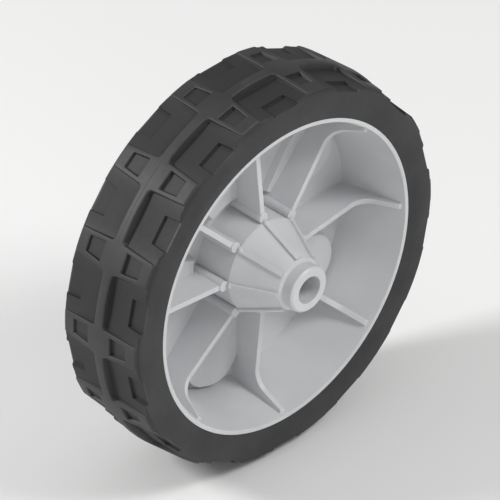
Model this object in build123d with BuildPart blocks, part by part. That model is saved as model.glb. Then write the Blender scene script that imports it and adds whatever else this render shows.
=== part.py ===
from build123d import *
import math
import os

os.makedirs("parts", exist_ok=True)

full_turn = 360.0

# Frame: the wheel turns about Y, the tyre's mid-plane is Y = 0 and the machine side faces -Y
# Rim barrel: two lips, the sloped wall of each dish and, at the floor disc, the waist of the tyre's channel
lip_radius = 73.36
lip_wall = 1.97
lip_y = 22.65
lip_inner_radius = lip_radius - lip_wall
wall_lean = 5.99
wall_foot_radius = lip_inner_radius - wall_lean
barrel_wall = 3.6
waist_radius = wall_foot_radius + barrel_wall
web_near_y = 8.85
web_thickness = 3.0
web_far_y = web_near_y + web_thickness
web_middle_y = web_near_y + web_thickness / 2

# Hub: plain bore, nose, ridged cone and the hollow behind it
bore_radius = 6.35
nose_radius = 10.7
nose_y = -36.85
nose_chamfer = 0.9
nose_length = 6.7
nose_step = 0.75
cone_top_radius = 12.0
cone_top_y = nose_y + nose_length
hub_radius = 21.6
cone_foot_y = -10.15
hub_wall = 3.0
hub_tube_radius = 10.2
hub_tube_end_y = 16.0

# Bosses, ridges and fins of the machine side share one set of angles
spoke_count = 8
boss_radius = 2.45
boss_offset = 2.0
boss_circle_radius = hub_radius + boss_offset
boss_step = 0.6
boss_end_y = cone_foot_y + boss_step
ridge_width = 2.5
ridge_height = 2.6
ridge_end_gap = 0.35
ridge_foot_inset = 0.6
ridge_foot_radius = hub_radius - ridge_foot_inset
ridge_foot_step = 0.85
ridge_foot_y = cone_foot_y - ridge_foot_step
fin_thickness = 2.5
fin_root_offset = 0.4
fin_root_radius = hub_radius + fin_root_offset
fin_root_step = 0.25
fin_root_y = boss_end_y + fin_root_step
fin_brow_inset = 15.2
fin_brow_radius = lip_inner_radius - fin_brow_inset
fin_brow_y = -5.75
fin_bend_radius = 9.0
fin_bend_angle = 72.0
fin_tip_gap = 1.9
fin_tip_y = fin_tip_gap - lip_y
fin_bite = 0.8

# Five petal panels of the floor disc, with outer corners that fill most of the panel's end
petal_count = 5
petal_first_angle = 36.0
petal_half_angle = 18.0
petal_hub_gap = 4.9
petal_inner_radius = hub_radius + petal_hub_gap
petal_wall_gap = 0.4
petal_outer_radius = wall_foot_radius - petal_wall_gap
petal_half_sine = math.sin(math.radians(petal_half_angle))
petal_corner_fill = 0.91
petal_outer_corner = petal_corner_fill * petal_outer_radius * petal_half_sine / (1 + petal_half_sine)
petal_rise = 3.5
petal_draft = 14.0
petal_wall = 2.0

# Tyre half section: how far each point lies in from the tread radius, and how far out from the lip
tyre_height = 16.64
tyre_radius = lip_radius + tyre_height
shoulder_points = [(1.5, -1.75), (4.0, 0.05), (11.0, 0.85)]
seat_clearance = 0.1

# Tread: the pockets fill the pitch between bars, and all cuts start above the crown and taper as they go in
pitch_count = 14
pitch_angle = full_turn / pitch_count
pitch_length = math.radians(pitch_angle) * tyre_radius
cut_lift = 1.0
cut_radius = tyre_radius + cut_lift
mouth_run = 3.35
mouth_y = lip_y + mouth_run
pocket_depth = 4.4
pocket_draft = 13.0
pocket_end_y = 2.0
bar_half_width = 6.7051
pocket_half_width = pitch_length / 2 - bar_half_width
pocket_flare = 1.959
pocket_mouth_half_width = pocket_half_width + pocket_flare
slot_depth = 3.4
slot_draft = 8.0
slot_near_y = 6.3
slot_far_y = 15.6
slot_wall = 1.8985
slot_near_half_width = bar_half_width - slot_wall
slot_narrowing = 0.9088
slot_far_half_width = slot_near_half_width - slot_narrowing
scoop_depth = 5.7
scoop_draft = 10.0
scoop_end_y = 13.4
scoop_margin = 6.0991
scoop_half_width = pocket_half_width - scoop_margin
scoop_flare = 1.0098
scoop_mouth_half_width = scoop_half_width + scoop_flare

floor_plane = Plane.XZ.offset(-web_near_y)
outer_plane = Plane.XZ.offset(-web_far_y)
tread_plane = Plane(origin=(cut_radius, 0, 0), x_dir=(0, 0, -1), z_dir=(1, 0, 0))


def turned(piece, count, first=0.0):
    """Copies of a piece spaced evenly round the axle, the first turned by an angle."""
    return [piece.rotate(Axis.Y, first + step * full_turn / count) for step in range(count)]


# One fin, a plate that lies along X with a crest that bends down to the lip
with BuildPart() as fin:
    with BuildSketch(Plane.XY):
        with BuildLine():
            crest = Line((fin_root_radius, fin_root_y), (fin_brow_radius, fin_brow_y))
            bend = JernArc(crest @ 1, crest % 1, fin_bend_radius, -fin_bend_angle)
            drop = fin_tip_y - (bend @ 1).Y
            tip = PolarLine(bend @ 1, drop, direction=bend % 1, length_mode=LengthMode.VERTICAL)
            Polyline(
                tip @ 1,
                (lip_radius - fin_bite, fin_tip_y),
                (waist_radius - fin_bite, web_middle_y),
                (fin_root_radius, web_middle_y),
                crest @ 0,
            )
        make_face()
    extrude(amount=fin_thickness / 2, both=True)

# One ridge of the hub cone, a bar sunk to its middle in the cone
with BuildPart() as ridge:
    ridge_foot = Vector(ridge_foot_radius, ridge_foot_y, 0)
    ridge_run = Vector(cone_top_radius, cone_top_y, 0) - ridge_foot
    with BuildSketch(Plane(origin=ridge_foot, x_dir=(0, 0, 1), z_dir=ridge_run)):
        Rectangle(ridge_width, ridge_height)
    extrude(amount=ridge_run.length - ridge_end_gap)

# One petal panel as a raised pad, and the pocket that hollows it from the outer face
with BuildSketch() as petal_outline:
    with BuildLine():
        PolarLine((0, 0), petal_outer_radius, -petal_half_angle)
        CenterArc((0, 0), petal_outer_radius, -petal_half_angle, 2 * petal_half_angle)
        PolarLine((0, 0), petal_outer_radius, petal_half_angle)
    make_face()
    Circle(petal_inner_radius, mode=Mode.SUBTRACT)
    fillet(petal_outline.vertices().sort_by_distance((0, 0))[2:], petal_outer_corner)

with BuildPart() as petal_pad:
    with BuildSketch(floor_plane):
        add(petal_outline.sketch)
    extrude(amount=petal_rise, taper=petal_draft)

with BuildPart() as petal_pocket:
    with BuildSketch(outer_plane):
        add(petal_outline.sketch)
        offset(amount=-petal_wall)
    extrude(amount=petal_rise)

# Rim: hub, floor and barrel are one turned section, the rest is added to it
with BuildPart() as rim:
    with BuildSketch(Plane.XY) as rim_section:
        with BuildLine():
            Polyline(
                (bore_radius, nose_y),
                (nose_radius, nose_y),
                (nose_radius, cone_top_y - nose_step),
                (cone_top_radius, cone_top_y),
                (hub_radius, cone_foot_y),
                (hub_radius, web_near_y),
                (wall_foot_radius, web_near_y),
                (lip_inner_radius, -lip_y),
                (lip_radius, -lip_y),
                (waist_radius, web_middle_y),
                (lip_radius, lip_y),
                (lip_inner_radius, lip_y),
                (wall_foot_radius, web_far_y),
                (hub_radius - hub_wall, web_far_y),
                (hub_radius - hub_wall, cone_foot_y),
                (hub_tube_radius, cone_foot_y),
                (hub_tube_radius, hub_tube_end_y),
                (bore_radius, hub_tube_end_y),
                close=True,
            )
        make_face()
        chamfer(rim_section.vertices().sort_by_distance((nose_radius, nose_y, 0))[0], nose_chamfer)
    revolve(axis=Axis.Y)
    with BuildSketch(Plane.XZ.offset(-boss_end_y)):
        with PolarLocations(boss_circle_radius, spoke_count):
            Circle(boss_radius)
    extrude(amount=boss_end_y - web_middle_y)
    add(turned(ridge.part, spoke_count))
    add(turned(fin.part, spoke_count))
    add(turned(petal_pad.part, petal_count, petal_first_angle))
    add(turned(petal_pocket.part, petal_count, petal_first_angle), mode=Mode.SUBTRACT)

rim.part.label = "rim"
export_step(rim.part, "parts/rim.step")

# Cutters of one pitch on the +Y half of the tread
with BuildPart() as pocket:
    with BuildSketch(tread_plane):
        with BuildLine():
            Polyline(
                (-pocket_half_width, pocket_end_y),
                (pocket_half_width, pocket_end_y),
                (pocket_mouth_half_width, mouth_y),
                (-pocket_mouth_half_width, mouth_y),
                close=True,
            )
        make_face()
    extrude(amount=-pocket_depth, taper=pocket_draft)

with BuildPart() as slot:
    with BuildSketch(tread_plane):
        with BuildLine():
            Polyline(
                (-slot_near_half_width, slot_near_y),
                (slot_near_half_width, slot_near_y),
                (slot_far_half_width, slot_far_y),
                (-slot_far_half_width, slot_far_y),
                close=True,
            )
        make_face()
    extrude(amount=-slot_depth, taper=slot_draft)

with BuildPart() as scoop:
    with BuildSketch(tread_plane):
        with BuildLine():
            Polyline(
                (-scoop_half_width, scoop_end_y),
                (scoop_half_width, scoop_end_y),
                (scoop_mouth_half_width, mouth_y),
                (-scoop_mouth_half_width, mouth_y),
                close=True,
            )
        make_face()
    extrude(amount=-scoop_depth, taper=scoop_draft)

pockets = turned(pocket.part, pitch_count, pitch_angle / 2)
slots = turned(slot.part, pitch_count)
scoops = turned(scoop.part, pitch_count, pitch_angle / 2)

# Tyre: a turned ring that loses its pockets, slots and scoops
with BuildPart() as tyre:
    with BuildSketch(Plane.XY):
        with BuildLine():
            shoulder = [(tyre_radius - inset, lip_y + bulge) for inset, bulge in shoulder_points]
            half = [*shoulder, (lip_radius + seat_clearance, lip_y)]
            Polyline(
                (tyre_radius, 0),
                *half,
                (waist_radius + seat_clearance, web_middle_y),
                *[(radius, -across) for radius, across in reversed(half)],
                close=True,
            )
        make_face()
    revolve(axis=Axis.Y)
    cuts = pockets + slots + scoops
    add(cuts + [cut.mirror(Plane.XZ) for cut in cuts], mode=Mode.SUBTRACT)

tyre.part.label = "tyre"
export_step(tyre.part, "parts/tyre.step")
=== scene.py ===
"""Looks of a small lawn mower wheel: a block-tread rubber tyre on a finned plastic rim, in a plain studio.

The axle lies along Y. Sizes of the wheel's pieces are in millimetres, those of finishes and studio in metres.
"""

import logging
import math
from abc import ABC, abstractmethod
from dataclasses import dataclass
from enum import Enum, IntEnum
from typing import Any, Callable, Optional, Sequence, Union

import bmesh
import bpy
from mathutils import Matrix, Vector


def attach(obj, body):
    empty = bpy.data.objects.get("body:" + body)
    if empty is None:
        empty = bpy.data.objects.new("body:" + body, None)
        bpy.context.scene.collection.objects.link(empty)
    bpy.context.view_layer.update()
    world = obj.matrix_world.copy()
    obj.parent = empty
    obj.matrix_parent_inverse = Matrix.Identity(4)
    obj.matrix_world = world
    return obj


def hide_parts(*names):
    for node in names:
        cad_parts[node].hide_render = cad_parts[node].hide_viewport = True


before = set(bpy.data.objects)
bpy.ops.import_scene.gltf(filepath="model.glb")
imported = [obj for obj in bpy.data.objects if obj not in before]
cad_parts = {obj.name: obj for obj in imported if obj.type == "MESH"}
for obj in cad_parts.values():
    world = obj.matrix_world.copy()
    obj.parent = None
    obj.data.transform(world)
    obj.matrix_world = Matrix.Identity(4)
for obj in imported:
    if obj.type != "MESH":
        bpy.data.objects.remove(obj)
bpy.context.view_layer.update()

LOG = logging.getLogger("wheel")
BODY = "root"
MM = 0.001
CENTRE = (0.0, 0.0, 0.0)
AXLE = (0.0, 1.0, 0.0)
OPAQUE = 1.0
FIN_COUNT = 8

Colour = tuple[float, float, float]
Point = tuple[float, float, float]
Span = tuple[float, float]
Operand = Union["Value", float]
Settings = dict[str, Any]
Inputs = dict[Union[str, int], Any]
EdgeTest = Callable[[bmesh.types.BMEdge], bool]


class Node(str, Enum):
    """Names of the solids that model.glb holds."""

    RIM = "rim"
    TYRE = "tyre"


class Slot(str, Enum):
    """Material slots of the record."""

    RIM = "rim_plastic"
    TYRE = "tyre_rubber"


class Corner(IntEnum):
    """The two ways in which an edge turns, as the sign of its angle."""

    OUTER = 1
    INNER = -1


class MixSocket(IntEnum):
    """Numbers of the sockets of a Mix node that blends colours."""

    SHARE = 0
    LOW = 6
    HIGH = 7
    BLEND = 2


class Value:
    """A shader socket that takes part in Python arithmetic, where each operator adds one Math node."""

    def __init__(self, graph: "Shader", socket: bpy.types.NodeSocket) -> None:
        """Keep the graph and the socket."""
        self.graph = graph
        self.socket = socket

    def math(self, operation: str, *others: Operand, swap: bool = False) -> "Value":
        """Add a Math node.

        Args:
            operation: Name of the Math node's operation.
            others: The further operands.
            swap: Whether this value comes last.

        Returns:
            The node's result.
        """
        operands: list[Operand] = [self, *others]
        if swap:
            operands.reverse()
        return self.graph.value("ShaderNodeMath", {"operation": operation}, dict(enumerate(operands)))

    def __add__(self, other: Operand) -> "Value":
        """Sum of two values."""
        return self.math("ADD", other)

    __radd__ = __add__

    def __sub__(self, other: Operand) -> "Value":
        """Difference of two values."""
        return self.math("SUBTRACT", other)

    def __rsub__(self, other: float) -> "Value":
        """A number less this value."""
        return self.math("SUBTRACT", other, swap=True)

    def __mul__(self, other: Operand) -> "Value":
        """Product of two values."""
        return self.math("MULTIPLY", other)

    __rmul__ = __mul__

    def __pow__(self, other: Operand) -> "Value":
        """Power of a value."""
        return self.math("POWER", other)

    def step(self, low: float, high: float) -> "Value":
        """Step smoothly from 0 to 1.

        Args:
            low: Value at which the step starts.
            high: Value at which it ends, which may be the smaller one.

        Returns:
            The step's value.
        """
        settings = {"interpolation_type": "SMOOTHSTEP"}
        inputs = {"Value": self, "From Min": low, "From Max": high}
        return self.graph.value("ShaderNodeMapRange", settings, inputs)


@dataclass(frozen=True)
class Grain:
    """A noise over a surface, and what it does there.

    Attributes:
        scale: Cells in a metre.
        detail: Octaves.
        finer: Share of the finer octaves.
        relief: What it adds to the height of the surface.
        dulling: What it adds to the roughness.
    """

    scale: float
    detail: float
    finer: float = 0.5
    relief: float = 0.0
    dulling: float = 0.0


class Shader:
    """A node material with one Principled surface."""

    def __init__(self, name: str) -> None:
        """Make a material with nothing but its surface.

        Args:
            name: The material's name.
        """
        self.material = bpy.data.materials.new(name)
        self.material.use_nodes = True
        self.tree = self.material.node_tree
        self.tree.nodes.clear()
        self.surface = self.node("ShaderNodeBsdfPrincipled")
        output = self.node("ShaderNodeOutputMaterial")
        self.tree.links.new(self.surface.outputs["BSDF"], output.inputs["Surface"])

    def node(
        self, kind: str, settings: Optional[Settings] = None, inputs: Optional[Inputs] = None
    ) -> bpy.types.Node:
        """Add a node.

        Args:
            kind: Blender's type name of the node.
            settings: Properties of the node, which are set first.
            inputs: Values or links of its sockets, by name or number.

        Returns:
            The new node.
        """
        made = self.tree.nodes.new(kind)
        for name, setting in (settings or {}).items():
            setattr(made, name, setting)
        for key, given in (inputs or {}).items():
            self.feed(made.inputs[key], given)
        return made

    def feed(self, socket: bpy.types.NodeSocket, given: Any) -> None:
        """Link a socket or set its value.

        Args:
            socket: The input.
            given: A Value, a number or a colour.
        """
        if isinstance(given, Value):
            self.tree.links.new(given.socket, socket)
        elif socket.type == "RGBA":
            socket.default_value = (*given, OPAQUE)
        else:
            socket.default_value = given

    def value(
        self,
        kind: str,
        settings: Optional[Settings] = None,
        inputs: Optional[Inputs] = None,
        output: Union[str, int] = 0,
    ) -> Value:
        """Add a node and wrap one of its outputs."""
        return Value(self, self.node(kind, settings, inputs).outputs[output])

    def place(self) -> Value:
        """Object coordinates of the surface."""
        return self.value("ShaderNodeTexCoord", output="Object")

    def axes(self, place: Value) -> tuple[Value, Value, Value]:
        """The three coordinates of a place, each by itself."""
        x, y, z = self.node("ShaderNodeSeparateXYZ", None, {"Vector": place}).outputs
        return Value(self, x), Value(self, y), Value(self, z)

    def noise(self, place: Value, grain: Grain) -> Value:
        """Noise from 0 to 1 with a grain's scale and detail."""
        inputs = {"Vector": place, "Scale": grain.scale, "Detail": grain.detail, "Roughness": grain.finer}
        return self.value("ShaderNodeTexNoise", None, inputs)

    def mix(self, share: Value, low: Union[Value, Colour], high: Union[Value, Colour]) -> Value:
        """Blend two colours.

        Args:
            share: Share of the second colour.
            low: The first colour.
            high: The second colour.

        Returns:
            The blend.
        """
        settings = {"data_type": "RGBA", "clamp_factor": True}
        inputs = {MixSocket.SHARE: share, MixSocket.LOW: low, MixSocket.HIGH: high}
        return self.value("ShaderNodeMix", settings, inputs, MixSocket.BLEND)

    def bump(self, height: Value, distance: float, strength: float) -> Value:
        """Normal of a surface with a height, of which 1 stands for a distance in metres."""
        inputs = {"Height": height, "Distance": distance, "Strength": strength}
        return self.value("ShaderNodeBump", None, inputs)

    def set(self, **inputs: Any) -> None:
        """Feed the surface's sockets, with underscores for the spaces in their names."""
        for name, given in inputs.items():
            self.feed(self.surface.inputs[name.replace("_", " ")], given)


@dataclass(frozen=True)
class RubberFinish:
    """Moulded black rubber with a fine grain, duller in the tread's hollows, where a darker colour is painted
    shade, and lined round the side wall.

    A span says where a smooth step starts and where it ends.

    Attributes:
        dark: Colour between the clouds.
        pale: Colour of the clouds.
        hollow_shade: Colour of the painted shade in the tread's hollows.
        roughness: Least roughness.
        specular: Specular level.
        cloud: Wide clouds.
        cloud_span: Part of the clouds' noise that shows in the colour.
        grain: Fine grain.
        mottle: Grain of a middle size.
        tread_span: Distance from the mid-plane at which the tread begins.
        hollow_span: Radius at which the tread's hollows begin.
        hollow_shade_share: Least share of the painted shade in the hollows.
        hollow_shade_clouding: What the clouds add to that share of painted shade.
        hollow_dulling: What the hollows add to the roughness.
        lined_from: Radius at which the lines of the side wall begin.
        lined_to: Radius at which they end.
        line_pitch: Distance between two lines.
        line_crest: Part of a line's wave that stands up.
        parting_span: Distance from the mid-plane within which the parting line lies.
        line_relief: What a line adds to the height of the surface.
        relief: Distance that a height of 1 stands for.
        relief_strength: Share of the relief that shows.
    """

    dark: Colour = (0.021, 0.021, 0.022)
    pale: Colour = (0.036, 0.036, 0.037)
    # Painted shade: a darker colour for the tread's hollows, standing in for the shade that falls into them.
    hollow_shade: Colour = (0.012, 0.012, 0.0125)
    roughness: float = 0.47
    specular: float = 0.5
    cloud: Grain = Grain(46.0, 3.0, dulling=0.1)
    cloud_span: Span = (0.3, 0.75)
    grain: Grain = Grain(2600.0, 2.0, finer=0.6, relief=0.35)
    mottle: Grain = Grain(420.0, 3.0, relief=0.4, dulling=0.08)
    tread_span: Span = (0.0223, 0.0217)
    hollow_span: Span = (0.0884, 0.0868)
    hollow_shade_share: float = 0.55
    hollow_shade_clouding: float = 0.4
    hollow_dulling: float = 0.14
    lined_from: Span = (0.0752, 0.0756)
    lined_to: Span = (0.0838, 0.0834)
    line_pitch: float = 0.0011
    line_crest: Span = (0.55, 0.95)
    parting_span: Span = (0.00018, 0.0)
    line_relief: float = 0.9
    relief: float = 0.00016
    relief_strength: float = 0.45

    def build(self) -> bpy.types.Material:
        """Make the rubber's material.

        Returns:
            The material.
        """
        shader = Shader("tyre_rubber")
        place = shader.place()
        x, y, z = shader.axes(place)
        radius = (x * x + z * z) ** 0.5
        side = y.math("ABSOLUTE")
        tread = side.step(*self.tread_span)
        depth = radius.step(*self.hollow_span) * tread
        cloud = shader.noise(place, self.cloud)
        grain = shader.noise(place, self.grain)
        mottle = shader.noise(place, self.mottle)
        body = shader.mix(cloud.step(*self.cloud_span), self.dark, self.pale)
        band = radius.step(*self.lined_from) * radius.step(*self.lined_to) * (1.0 - tread)
        lines = (radius * (math.tau / self.line_pitch)).math("SINE").step(*self.line_crest) * band
        parting = side.step(*self.parting_span) * (1.0 - depth)
        moulded = (lines + parting) * self.line_relief
        height = grain * self.grain.relief + mottle * self.mottle.relief + moulded
        dulling = cloud * self.cloud.dulling + depth * self.hollow_dulling + mottle * self.mottle.dulling
        # Painted shade: the hollows are mixed towards a darker colour, standing in for the shade that falls
        # into them.
        hollow_shade_amount = depth * (self.hollow_shade_share + cloud * self.hollow_shade_clouding)
        shader.set(
            Base_Color=shader.mix(hollow_shade_amount, body, self.hollow_shade),
            Roughness=self.roughness + dulling,
            Specular_IOR_Level=self.specular,
            Normal=shader.bump(height, self.relief, self.relief_strength),
        )
        return shader.material


@dataclass(frozen=True)
class PlasticFinish:
    """Moulded polypropylene with a spark-eroded stipple, faint flow clouds and a soft sheen.

    Attributes:
        light: Colour between the clouds.
        deep: Colour of the clouds.
        roughness: Least roughness.
        specular: Specular level.
        cloud: Flow clouds.
        cloud_span: Part of the clouds' noise that shows in the colour.
        stipple: Fine stipple.
        sink: Shallow waves of the cooled moulding.
        relief: Distance that a height of 1 stands for.
        relief_strength: Share of the relief that shows.
    """

    light: Colour = (0.62, 0.63, 0.64)
    deep: Colour = (0.55, 0.56, 0.575)
    roughness: float = 0.3
    specular: float = 0.5
    cloud: Grain = Grain(26.0, 3.0, dulling=0.12)
    cloud_span: Span = (0.3, 0.75)
    stipple: Grain = Grain(1900.0, 1.5, relief=0.7, dulling=0.08)
    sink: Grain = Grain(150.0, 2.0, relief=0.6)
    relief: float = 0.00007
    relief_strength: float = 0.4

    def build(self) -> bpy.types.Material:
        """Make the plastic's material.

        Returns:
            The material.
        """
        shader = Shader("rim_plastic")
        place = shader.place()
        cloud = shader.noise(place, self.cloud)
        stipple = shader.noise(place, self.stipple)
        sink = shader.noise(place, self.sink)
        height = stipple * self.stipple.relief + sink * self.sink.relief
        shader.set(
            Base_Color=shader.mix(cloud.step(*self.cloud_span), self.light, self.deep),
            Roughness=self.roughness + cloud * self.cloud.dulling + stipple * self.stipple.dulling,
            Specular_IOR_Level=self.specular,
            Normal=shader.bump(height, self.relief, self.relief_strength),
        )
        return shader.material


@dataclass(frozen=True)
class FloorFinish:
    """Matte pale studio floor."""

    colour: Colour = (0.8, 0.8, 0.795)
    roughness: float = 0.85

    def build(self) -> bpy.types.Material:
        """Make the floor's material.

        Returns:
            The material.
        """
        shader = Shader("studio_floor")
        shader.set(Base_Color=self.colour, Roughness=self.roughness)
        return shader.material


def geometry(bm: bmesh.types.BMesh) -> list[Any]:
    """All vertices, edges and faces of a bmesh."""
    return bm.verts[:] + bm.edges[:] + bm.faces[:]


def middle(edge: bmesh.types.BMEdge) -> Vector:
    """Middle of an edge, in millimetres."""
    return (edge.verts[0].co + edge.verts[1].co) / (2.0 * MM)


def from_axle(place: Vector) -> float:
    """Distance of a place from the axle."""
    return math.hypot(place.x, place.z)


def within(number: float, span: Span) -> bool:
    """Whether a number lies between the ends of a span."""
    return span[0] < number < span[1]


def anywhere(_edge: bmesh.types.BMEdge) -> bool:
    """Whether an edge is on the piece at all, which it is."""
    return True


def turn_copies(bm: bmesh.types.BMesh, count: int) -> None:
    """Repeat a shape evenly round the axle.

    Args:
        bm: The shape, which stays as the first copy.
        count: Number of copies in a turn.
    """
    bmesh.ops.spin(
        bm,
        geom=geometry(bm),
        cent=CENTRE,
        axis=AXLE,
        angle=math.tau * (count - 1) / count,
        steps=count - 1,
        use_duplicate=True,
    )


def place_piece(
    name: str, bm: bmesh.types.BMesh, material: bpy.types.Material
) -> bpy.types.Object:
    """Turn a bmesh into a smooth piece of the wheel.

    Args:
        name: The piece's name.
        bm: Its shape, which is freed.
        material: Its material.

    Returns:
        The piece's object.
    """
    for face in bm.faces:
        face.smooth = True
    mesh = bpy.data.meshes.new(name)
    bm.to_mesh(mesh)
    bm.free()
    mesh.materials.append(material)
    piece = bpy.data.objects.new(name, mesh)
    bpy.context.scene.collection.objects.link(piece)
    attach(piece, BODY)
    return piece


@dataclass(frozen=True)
class EdgeRound:
    """One pass that rounds the edges of a moulding.

    Attributes:
        name: What the edges are, for the log.
        corner: Whether it takes outer or inner edges.
        chosen: Test that says whether it takes an edge.
        width: Width of the rounding.
        segments: Steps across the rounding.
        angle: Least turn between the two faces, in degrees.
    """

    name: str
    corner: Corner
    chosen: EdgeTest
    width: float
    segments: int
    angle: float = 22.0

    def edges(self, bm: bmesh.types.BMesh) -> list[bmesh.types.BMEdge]:
        """Find the edges that the pass rounds.

        Args:
            bm: The moulding.

        Returns:
            Its edges that turn sharply enough, the right way and in the right place.
        """
        least = math.radians(self.angle)
        return [
            edge
            for edge in bm.edges
            if self.corner * edge.calc_face_angle_signed(0.0) >= least and self.chosen(edge)
        ]

    def apply(self, bm: bmesh.types.BMesh) -> None:
        """Round the edges.

        Args:
            bm: The moulding.
        """
        edges = self.edges(bm)
        bmesh.ops.bevel(
            bm,
            geom=edges,
            affect="EDGES",
            offset=self.width * MM,
            offset_type="OFFSET",
            segments=self.segments,
            profile=0.5,
            material=-1,
            clamp_overlap=False,
        )
        LOG.info("%s: %d edges rounded", self.name, len(edges))


@dataclass
class Moulding(ABC):
    """A moulded piece: a copy of its solid with flat faces joined and edges rounded.

    Attributes:
        name: The piece's name.
        node: The solid that it replaces.
        slot: Its material slot, which is not used.
        merge: Distance within which points become one.
        flat_angle: Turn in degrees up to which two faces become one.
        shortest: Length under which an edge is closed up.
        smooth_angle: Turn in degrees up to which two faces look like one.
    """

    name: str
    node: Node
    slot: Slot
    merge: float = 0.002
    flat_angle: float = 0.6
    shortest: float = 0.1
    smooth_angle: float = 24.0

    def build(self, material: bpy.types.Material) -> bpy.types.Object:
        """Make the piece.

        Args:
            material: Its material.

        Returns:
            The piece's object.
        """
        bm = bmesh.new()
        bm.from_mesh(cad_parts[self.node.value].data)
        bmesh.ops.remove_doubles(bm, verts=bm.verts, dist=self.merge * MM)
        self.prepare(bm)
        flat = math.radians(self.flat_angle)
        bmesh.ops.dissolve_limit(bm, angle_limit=flat, verts=bm.verts, edges=bm.edges)
        bmesh.ops.dissolve_degenerate(bm, dist=self.shortest * MM, edges=bm.edges)
        for edge_round in self.rounds():
            edge_round.apply(bm)
        bmesh.ops.remove_doubles(bm, verts=bm.verts, dist=self.merge * MM)
        bmesh.ops.recalc_face_normals(bm, faces=bm.faces)
        piece = place_piece(self.name, bm, material)
        self.lean_normals(piece.data)
        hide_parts(self.node.value)
        return piece

    def prepare(self, bm: bmesh.types.BMesh) -> None:
        """Change the copy of the solid before its edges are rounded, which a plain moulding doesn't need."""

    @abstractmethod
    def rounds(self) -> Sequence[EdgeRound]:
        """Passes that round the edges, in order."""

    def lean_normals(self, mesh: bpy.types.Mesh) -> None:
        """Lean each corner's normal towards the largest smooth face, so that flat faces look flat.

        Args:
            mesh: The piece's mesh.
        """
        around: list[list[bpy.types.MeshPolygon]] = [[] for _ in mesh.vertices]
        for face in mesh.polygons:
            for index in face.vertices:
                around[index].append(face)
        least = math.cos(math.radians(self.smooth_angle))
        normals = [Vector() for _ in mesh.loops]
        for face in mesh.polygons:
            for loop, index in zip(face.loop_indices, face.vertices):
                smooth = [near for near in around[index] if near.normal.dot(face.normal) >= least]
                normals[loop] = sum((near.normal * near.area for near in smooth), Vector())
        mesh.normals_split_custom_set([normal.normalized() for normal in normals])


@dataclass
class Tyre(Moulding):
    """The rubber tyre, made whole from half a pitch of one side so that every block is the same.

    Attributes:
        pitches: Pitches of the tread in a turn, the first with its middle on the X axis.
        seam: Distance within which points lie on a cut.
        skin_radius: Radius past which an edge lies on the tread's outer skin.
        corner_rise: Least rise of a corner that stands up in a pocket.
        corner_reach: Distance from the mid-plane within which those corners stand.
        corner_round: Rounding of those corners.
        bar_round: Rounding of the bars' outer edges.
        floor_round: Rounding of all inner edges.
    """

    name: str = "block_tread_tyre"
    node: Node = Node.TYRE
    slot: Slot = Slot.TYRE
    smooth_angle: float = 46.0
    pitches: int = 14
    seam: float = 0.001
    skin_radius: float = 87.2
    corner_rise: float = 1.5
    corner_reach: float = 4.5
    corner_round: float = 1.5
    bar_round: float = 0.6
    floor_round: float = 0.2

    def prepare(self, bm: bmesh.types.BMesh) -> None:
        """Keep half a pitch of one side, then mirror and turn it into the whole ring.

        Args:
            bm: The copy of the solid.
        """
        half = math.pi / self.pitches
        seam = self.seam * MM
        for normal in ((0.0, -1.0, 0.0), (0.0, 0.0, -1.0), (-math.sin(half), 0.0, math.cos(half))):
            bmesh.ops.bisect_plane(
                bm, geom=geometry(bm), dist=seam, plane_co=CENTRE, plane_no=normal, clear_outer=True
            )
        for axis in "YZ":
            bmesh.ops.mirror(bm, geom=geometry(bm), merge_dist=seam, axis=axis)
        turn_copies(bm, self.pitches)
        bmesh.ops.remove_doubles(bm, verts=bm.verts, dist=self.merge * MM)
        bmesh.ops.recalc_face_normals(bm, faces=bm.faces)

    def rounds(self) -> Sequence[EdgeRound]:
        """Passes that round the tyre's edges, the largest rounding first."""
        return (
            EdgeRound("pocket corners", Corner.INNER, self.at_pocket_corner, self.corner_round, segments=4),
            EdgeRound("tread bars", Corner.OUTER, self.on_skin, self.bar_round, segments=3),
            EdgeRound("tread floors", Corner.INNER, anywhere, self.floor_round, segments=2),
        )

    def on_skin(self, edge: bmesh.types.BMEdge) -> bool:
        """Whether an edge lies on the tread's outer skin."""
        return from_axle(middle(edge)) > self.skin_radius

    def at_pocket_corner(self, edge: bmesh.types.BMEdge) -> bool:
        """Whether an edge stands up in a pocket's corner beside the centre rib."""
        rise = abs(from_axle(edge.verts[0].co) - from_axle(edge.verts[1].co)) / MM
        return rise > self.corner_rise and abs(middle(edge).y) < self.corner_reach


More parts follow.
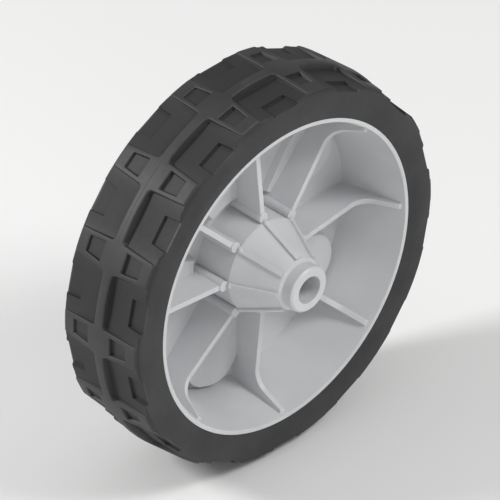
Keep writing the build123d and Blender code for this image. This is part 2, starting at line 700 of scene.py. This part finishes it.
@dataclass
class Rim(Moulding):
    """The plastic rim, whose edges stay sharp in the few places that have no room for a rounding.

    A span says from where to where along the axle such a place reaches.

    Attributes:
        edge_round: Rounding of all edges.
        cone_top: Top of the hub's cone.
        petal_edge: Edges of the petals, where they run into fins.
        petal_root: Ends of the petals beside the hub.
        wall_foot: Foot of the dish's wall.
        wall_foot_radius: Radius past which the wall's foot lies.
        hub_zone: Radius within which the hub and the ends of the petals lie.
        boss_root_radius: Radius within which the bosses run into the hub.
        boss_root_y: Place along the axle past which they do so.
        fin_reach: Distance from a fin's middle within which an edge lies beside it.
    """

    name: str = "finned_rim"
    node: Node = Node.RIM
    slot: Slot = Slot.RIM
    edge_round: float = 0.3
    cone_top: Span = (-31.5, -28.6)
    petal_edge: Span = (4.8, 8.8)
    petal_root: Span = (8.0, 10.0)
    wall_foot: Span = (8.4, 9.3)
    wall_foot_radius: float = 63.8
    hub_zone: float = 28.5
    boss_root_radius: float = 23.0
    boss_root_y: float = -10.4
    fin_reach: float = 3.6

    def rounds(self) -> Sequence[EdgeRound]:
        """Passes that round the rim's edges, the inner ones first."""
        return (
            EdgeRound("rim's inner edges", Corner.INNER, self.inner_room, self.edge_round, segments=2),
            EdgeRound("rim's outer edges", Corner.OUTER, self.outer_room, self.edge_round, segments=3),
        )

    def clear_of_joins(self, edge: bmesh.types.BMEdge) -> bool:
        """Find out whether an edge lies clear of the cone's top and of petals that run into fins.

        Args:
            edge: An edge of the rim.

        Returns:
            Whether it lies clear of both.
        """
        place = middle(edge)
        step = math.tau / FIN_COUNT
        turn = math.atan2(place.z, place.x)
        beside_fin = from_axle(place) * abs(math.sin(turn - step * round(turn / step))) < self.fin_reach
        at_join = beside_fin and within(place.y, self.petal_edge)
        return not within(place.y, self.cone_top) and not at_join

    def outer_room(self, edge: bmesh.types.BMEdge) -> bool:
        """Find out whether an outer edge has room to be rounded.

        Args:
            edge: An outer edge of the rim.

        Returns:
            Whether it has room.
        """
        place = middle(edge)
        radius = from_axle(place)
        at_boss_root = radius < self.boss_root_radius and place.y > self.boss_root_y
        at_petal_root = radius < self.hub_zone and within(place.y, self.petal_root)
        return self.clear_of_joins(edge) and not at_boss_root and not at_petal_root

    def inner_room(self, edge: bmesh.types.BMEdge) -> bool:
        """Find out whether an inner edge has room to be rounded.

        Args:
            edge: An inner edge of the rim.

        Returns:
            Whether it has room.
        """
        place = middle(edge)
        radius = from_axle(place)
        at_wall_foot = radius > self.wall_foot_radius and within(place.y, self.wall_foot)
        return self.clear_of_joins(edge) and radius > self.hub_zone and not at_wall_foot


@dataclass
class RidgeFeet:
    """The small round feet in which the hub's ridges end, beside the bosses.

    Attributes:
        name: The piece's name.
        count: Number of ridges, one in line with each fin.
        radius: Radius of a foot.
        circle: Distance of a foot's middle from the axle.
        along: Its place along the axle.
        rings: Steps of a foot from pole to pole, half as many as round it.
    """

    name: str = "ridge_feet"
    count: int = FIN_COUNT
    radius: float = 1.5
    circle: float = 21.35
    along: float = -10.7
    rings: int = 12

    def build(self, material: bpy.types.Material) -> bpy.types.Object:
        """Make all the feet as one piece.

        Args:
            material: The rim's plastic.

        Returns:
            The feet's object.
        """
        bm = bmesh.new()
        bmesh.ops.create_uvsphere(
            bm, u_segments=2 * self.rings, v_segments=self.rings, radius=self.radius * MM
        )
        bmesh.ops.translate(bm, verts=bm.verts, vec=Vector((self.circle, self.along, 0.0)) * MM)
        turn_copies(bm, self.count)
        bmesh.ops.recalc_face_normals(bm, faces=bm.faces)
        return place_piece(self.name, bm, material)


@dataclass(frozen=True)
class Lamp:
    """A square soft lamp that faces the wheel.

    Attributes:
        name: The lamp's name.
        place: Where it hangs.
        size: Its side.
        power: Its power in watts.
    """

    name: str
    place: Point
    size: float
    power: float

    def hang(self) -> None:
        """Add the lamp to the scene."""
        data = bpy.data.lights.new(self.name, "AREA")
        data.shape = "SQUARE"
        data.size = self.size
        data.energy = self.power
        lamp = bpy.data.objects.new(self.name, data)
        lamp.location = self.place
        lamp.rotation_euler = (-Vector(self.place)).to_track_quat("-Z", "Y").to_euler()
        bpy.context.scene.collection.objects.link(lamp)


@dataclass
class Studio:
    """Floor, soft lamps, world and the camera of an isometric view.

    Attributes:
        floor_finish: The floor's finish.
        floor_size: Half the floor's side.
        floor_drop: How far the floor lies under the axle, in millimetres.
        lamps: The soft lamps.
        world_colour: Colour of the world's light.
        world_level: Strength of the world's light.
        sight: Direction from the wheel to the camera.
        distance: Distance of the camera from the wheel.
        frame_width: Width that the picture shows, in millimetres.
        aim_right: How far right of the wheel's middle the camera aims, in millimetres.
        aim_up: How far above it the camera aims, in millimetres.
    """

    floor_finish: FloorFinish = FloorFinish()
    floor_size: float = 6.0
    floor_drop: float = 90.0
    lamps: Sequence[Lamp] = (
        Lamp("key", (0.45, -1.0, 1.25), size=0.55, power=13.0),
        Lamp("rake", (-1.0, 0.8, 0.9), size=0.4, power=17.0),
        Lamp("fill", (-0.9, -1.2, 0.4), size=1.0, power=2.5),
    )
    world_colour: Colour = (1.0, 1.0, 1.0)
    world_level: float = 0.42
    sight: Point = (-1.0, -1.0, 1.0)
    distance: float = 1.5
    frame_width: float = 211.1
    aim_right: float = 0.887
    aim_up: float = 1.98

    def build(self) -> None:
        """Set up the whole stage."""
        self.lay_floor()
        for lamp in self.lamps:
            lamp.hang()
        self.light_world()
        self.look()

    def lay_floor(self) -> None:
        """Lay the floor under the tread."""
        bm = bmesh.new()
        bmesh.ops.create_grid(bm, x_segments=1, y_segments=1, size=self.floor_size)
        bmesh.ops.translate(bm, verts=bm.verts, vec=(0.0, 0.0, -self.floor_drop * MM))
        mesh = bpy.data.meshes.new("studio_floor")
        bm.to_mesh(mesh)
        bm.free()
        floor = bpy.data.objects.new("studio_floor", mesh)
        bpy.context.scene.collection.objects.link(floor)
        mesh.materials.append(self.floor_finish.build())

    def light_world(self) -> None:
        """Give the world its even light."""
        world = bpy.data.worlds.new("studio")
        world.use_nodes = True
        sky = world.node_tree.nodes["Background"]
        sky.inputs["Color"].default_value = (*self.world_colour, OPAQUE)
        sky.inputs["Strength"].default_value = self.world_level
        bpy.context.scene.world = world

    def look(self) -> None:
        """Place the camera on the isometric line of sight."""
        data = bpy.data.cameras.new("camera")
        data.type = "ORTHO"
        data.ortho_scale = self.frame_width * MM
        camera = bpy.data.objects.new("camera", data)
        line = Vector(self.sight).normalized()
        turn = line.to_track_quat("Z", "Y")
        aim = turn @ Vector((self.aim_right, self.aim_up, 0.0))
        camera.location = line * self.distance + aim * MM
        camera.rotation_euler = turn.to_euler()
        bpy.context.scene.collection.objects.link(camera)
        bpy.context.scene.camera = camera


def main() -> None:
    """Build the wheel and its stage, in order, and report each piece."""
    logging.basicConfig(level=logging.INFO)
    rubber = RubberFinish().build()
    plastic = PlasticFinish().build()
    for piece in (Tyre().build(rubber), Rim().build(plastic), RidgeFeet().build(plastic)):
        LOG.info("%s: %d faces", piece.name, len(piece.data.polygons))
    Studio().build()
    bpy.context.scene.view_settings.view_transform = "Standard"


if __name__ == "__main__":
    main()
